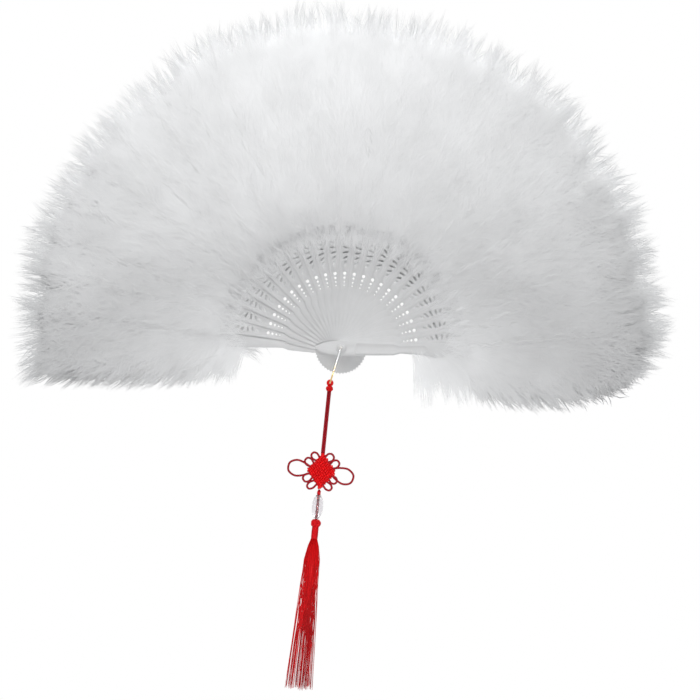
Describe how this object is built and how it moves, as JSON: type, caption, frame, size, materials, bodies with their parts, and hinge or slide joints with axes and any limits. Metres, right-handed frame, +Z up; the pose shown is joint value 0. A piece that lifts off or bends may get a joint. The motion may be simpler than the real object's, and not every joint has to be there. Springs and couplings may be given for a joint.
{
  "type": "folding feather fan",
  "caption": "Hand fan of pierced white sticks on one pivot, fringed with thick white marabou plumes, with a wire bail and a red knotted tassel; it folds flat into a bundle.",
  "frame": {"origin": "on the pivot axis, half way through the stack of sticks", "axes": "+X towards the front guard's tip, +Y from the front to the back along the pivot, +Z up the middle of the open fan"},
  "size_m": [0.5842, 0.0782, 0.6124],
  "materials": {
    "white_plastic": "satin moulded",
    "white_feather": "fluffy down",
    "white_ribbon": "satin weave",
    "bail_wire": "bright drawn wire",
    "red_cord": "satin cord",
    "clear_bead": "frosted clear"
  },
  "bodies": {
    "front_guard": {"front_guard": "white_plastic", "front_guard_plume": "white_feather", "pivot_tube": "white_plastic", "front_washer": "bail_wire", "back_washer": "bail_wire", "spacing_ribbon": "white_ribbon"},
    "back_guard": {"back_guard": "white_plastic", "back_guard_plume": "white_feather"},
    "stick_01": {"stick_01": "white_plastic", "plume_01": "white_feather"},
    "stick_02": {"stick_02": "white_plastic", "plume_02": "white_feather"},
    "stick_03": {"stick_03": "white_plastic", "plume_03": "white_feather"},
    "stick_04": {"stick_04": "white_plastic", "plume_04": "white_feather"},
    "stick_05": {"stick_05": "white_plastic", "plume_05": "white_feather"},
    "stick_06": {"stick_06": "white_plastic", "plume_06": "white_feather"},
    "stick_07": {"stick_07": "white_plastic", "plume_07": "white_feather"},
    "stick_08": {"stick_08": "white_plastic", "plume_08": "white_feather"},
    "stick_09": {"stick_09": "white_plastic", "plume_09": "white_feather"},
    "stick_10": {"stick_10": "white_plastic", "plume_10": "white_feather"},
    "stick_11": {"stick_11": "white_plastic", "plume_11": "white_feather"},
    "stick_12": {"stick_12": "white_plastic", "plume_12": "white_feather"},
    "stick_13": {"stick_13": "white_plastic", "plume_13": "white_feather"},
    "stick_14": {"stick_14": "white_plastic", "plume_14": "white_feather"},
    "stick_15": {"stick_15": "white_plastic", "plume_15": "white_feather"},
    "stick_16": {"stick_16": "white_plastic", "plume_16": "white_feather"},
    "stick_17": {"stick_17": "white_plastic", "plume_17": "white_feather"},
    "stick_18": {"stick_18": "white_plastic", "plume_18": "white_feather"},
    "stick_19": {"stick_19": "white_plastic", "plume_19": "white_feather"},
    "stick_20": {"stick_20": "white_plastic", "plume_20": "white_feather"},
    "stick_21": {"stick_21": "white_plastic", "plume_21": "white_feather"},
    "stick_22": {"stick_22": "white_plastic", "plume_22": "white_feather"},
    "stick_23": {"stick_23": "white_plastic", "plume_23": "white_feather"},
    "bail": {"bail": "bail_wire"},
    "hanger": {"hang_cord": "red_cord", "woven_knot": "red_cord"},
    "tassel": {"bead": "clear_bead", "tassel_head": "red_cord", "tassel_skirt": "red_cord"}
  },
  "joints": [
    {"name": "fan_fold", "type": "hinge", "parent": "front_guard", "child": "back_guard", "pos_m": [0, 0, 0], "axis": [0, 1, 0], "range_deg": [0, 176.6], "deforming": ["front_guard_plume", "back_guard_plume", "plume_01", "plume_02", "plume_03", "plume_04", "plume_05", "plume_06", "plume_07", "plume_08", "plume_09", "plume_10", "plume_11", "plume_12", "plume_13", "plume_14", "plume_15", "plume_16", "plume_17", "plume_18", "plume_19", "plume_20", "plume_21", "plume_22", "plume_23", "spacing_ribbon"]},
    {"name": "stick_01_fold", "type": "hinge", "parent": "front_guard", "child": "stick_01", "pos_m": [0, 0, 0], "axis": [0, 1, 0], "range_deg": [0, 7.36]},
    {"name": "stick_02_fold", "type": "hinge", "parent": "front_guard", "child": "stick_02", "pos_m": [0, 0, 0], "axis": [0, 1, 0], "range_deg": [0, 14.72]},
    {"name": "stick_03_fold", "type": "hinge", "parent": "front_guard", "child": "stick_03", "pos_m": [0, 0, 0], "axis": [0, 1, 0], "range_deg": [0, 22.08]},
    {"name": "stick_04_fold", "type": "hinge", "parent": "front_guard", "child": "stick_04", "pos_m": [0, 0, 0], "axis": [0, 1, 0], "range_deg": [0, 29.44]},
    {"name": "stick_05_fold", "type": "hinge", "parent": "front_guard", "child": "stick_05", "pos_m": [0, 0, 0], "axis": [0, 1, 0], "range_deg": [0, 36.8]},
    {"name": "stick_06_fold", "type": "hinge", "parent": "front_guard", "child": "stick_06", "pos_m": [0, 0, 0], "axis": [0, 1, 0], "range_deg": [0, 44.15]},
    {"name": "stick_07_fold", "type": "hinge", "parent": "front_guard", "child": "stick_07", "pos_m": [0, 0, 0], "axis": [0, 1, 0], "range_deg": [0, 51.51]},
    {"name": "stick_08_fold", "type": "hinge", "parent": "front_guard", "child": "stick_08", "pos_m": [0, 0, 0], "axis": [0, 1, 0], "range_deg": [0, 58.87]},
    {"name": "stick_09_fold", "type": "hinge", "parent": "front_guard", "child": "stick_09", "pos_m": [0, 0, 0], "axis": [0, 1, 0], "range_deg": [0, 66.23]},
    {"name": "stick_10_fold", "type": "hinge", "parent": "front_guard", "child": "stick_10", "pos_m": [0, 0, 0], "axis": [0, 1, 0], "range_deg": [0, 73.59]},
    {"name": "stick_11_fold", "type": "hinge", "parent": "front_guard", "child": "stick_11", "pos_m": [0, 0, 0], "axis": [0, 1, 0], "range_deg": [0, 80.95]},
    {"name": "stick_12_fold", "type": "hinge", "parent": "front_guard", "child": "stick_12", "pos_m": [0, 0, 0], "axis": [0, 1, 0], "range_deg": [0, 88.3]},
    {"name": "stick_13_fold", "type": "hinge", "parent": "front_guard", "child": "stick_13", "pos_m": [0, 0, 0], "axis": [0, 1, 0], "range_deg": [0, 95.66]},
    {"name": "stick_14_fold", "type": "hinge", "parent": "front_guard", "child": "stick_14", "pos_m": [0, 0, 0], "axis": [0, 1, 0], "range_deg": [0, 103.02]},
    {"name": "stick_15_fold", "type": "hinge", "parent": "front_guard", "child": "stick_15", "pos_m": [0, 0, 0], "axis": [0, 1, 0], "range_deg": [0, 110.38]},
    {"name": "stick_16_fold", "type": "hinge", "parent": "front_guard", "child": "stick_16", "pos_m": [0, 0, 0], "axis": [0, 1, 0], "range_deg": [0, 117.74]},
    {"name": "stick_17_fold", "type": "hinge", "parent": "front_guard", "child": "stick_17", "pos_m": [0, 0, 0], "axis": [0, 1, 0], "range_deg": [0, 125.1]},
    {"name": "stick_18_fold", "type": "hinge", "parent": "front_guard", "child": "stick_18", "pos_m": [0, 0, 0], "axis": [0, 1, 0], "range_deg": [0, 132.45]},
    {"name": "stick_19_fold", "type": "hinge", "parent": "front_guard", "child": "stick_19", "pos_m": [0, 0, 0], "axis": [0, 1, 0], "range_deg": [0, 139.81]},
    {"name": "stick_20_fold", "type": "hinge", "parent": "front_guard", "child": "stick_20", "pos_m": [0, 0, 0], "axis": [0, 1, 0], "range_deg": [0, 147.17]},
    {"name": "stick_21_fold", "type": "hinge", "parent": "front_guard", "child": "stick_21", "pos_m": [0, 0, 0], "axis": [0, 1, 0], "range_deg": [0, 154.53]},
    {"name": "stick_22_fold", "type": "hinge", "parent": "front_guard", "child": "stick_22", "pos_m": [0, 0, 0], "axis": [0, 1, 0], "range_deg": [0, 161.89]},
    {"name": "stick_23_fold", "type": "hinge", "parent": "front_guard", "child": "stick_23", "pos_m": [0, 0, 0], "axis": [0, 1, 0], "range_deg": [0, 169.25]},
    {"name": "bail_swing", "type": "hinge", "parent": "front_guard", "child": "bail", "pos_m": [0, 0, 0], "axis": [0, 1, 0], "range_deg": [-40, 25]},
    {"name": "tassel_swing", "type": "hinge", "parent": "bail", "child": "hanger", "pos_m": [-0.00832, 0, -0.03193], "axis": [0, 1, 0], "range_deg": [-15, 15]},
    {"name": "skirt_swing", "type": "hinge", "parent": "hanger", "child": "tassel", "pos_m": [-0.01332, 0, -0.1274], "axis": [0, 1, 0], "range_deg": [-20, 20]}
  ],
  "couplings": [
    {"joint": "stick_01_fold", "follows": "fan_fold", "ratio": 0.041667},
    {"joint": "stick_02_fold", "follows": "fan_fold", "ratio": 0.083333},
    {"joint": "stick_03_fold", "follows": "fan_fold", "ratio": 0.125},
    {"joint": "stick_04_fold", "follows": "fan_fold", "ratio": 0.16667},
    {"joint": "stick_05_fold", "follows": "fan_fold", "ratio": 0.20833},
    {"joint": "stick_06_fold", "follows": "fan_fold", "ratio": 0.25},
    {"joint": "stick_07_fold", "follows": "fan_fold", "ratio": 0.29167},
    {"joint": "stick_08_fold", "follows": "fan_fold", "ratio": 0.33333},
    {"joint": "stick_09_fold", "follows": "fan_fold", "ratio": 0.375},
    {"joint": "stick_10_fold", "follows": "fan_fold", "ratio": 0.41667},
    {"joint": "stick_11_fold", "follows": "fan_fold", "ratio": 0.45833},
    {"joint": "stick_12_fold", "follows": "fan_fold", "ratio": 0.5},
    {"joint": "stick_13_fold", "follows": "fan_fold", "ratio": 0.54167},
    {"joint": "stick_14_fold", "follows": "fan_fold", "ratio": 0.58333},
    {"joint": "stick_15_fold", "follows": "fan_fold", "ratio": 0.625},
    {"joint": "stick_16_fold", "follows": "fan_fold", "ratio": 0.66667},
    {"joint": "stick_17_fold", "follows": "fan_fold", "ratio": 0.70833},
    {"joint": "stick_18_fold", "follows": "fan_fold", "ratio": 0.75},
    {"joint": "stick_19_fold", "follows": "fan_fold", "ratio": 0.79167},
    {"joint": "stick_20_fold", "follows": "fan_fold", "ratio": 0.83333},
    {"joint": "stick_21_fold", "follows": "fan_fold", "ratio": 0.875},
    {"joint": "stick_22_fold", "follows": "fan_fold", "ratio": 0.91667},
    {"joint": "stick_23_fold", "follows": "fan_fold", "ratio": 0.95833}
  ]
}
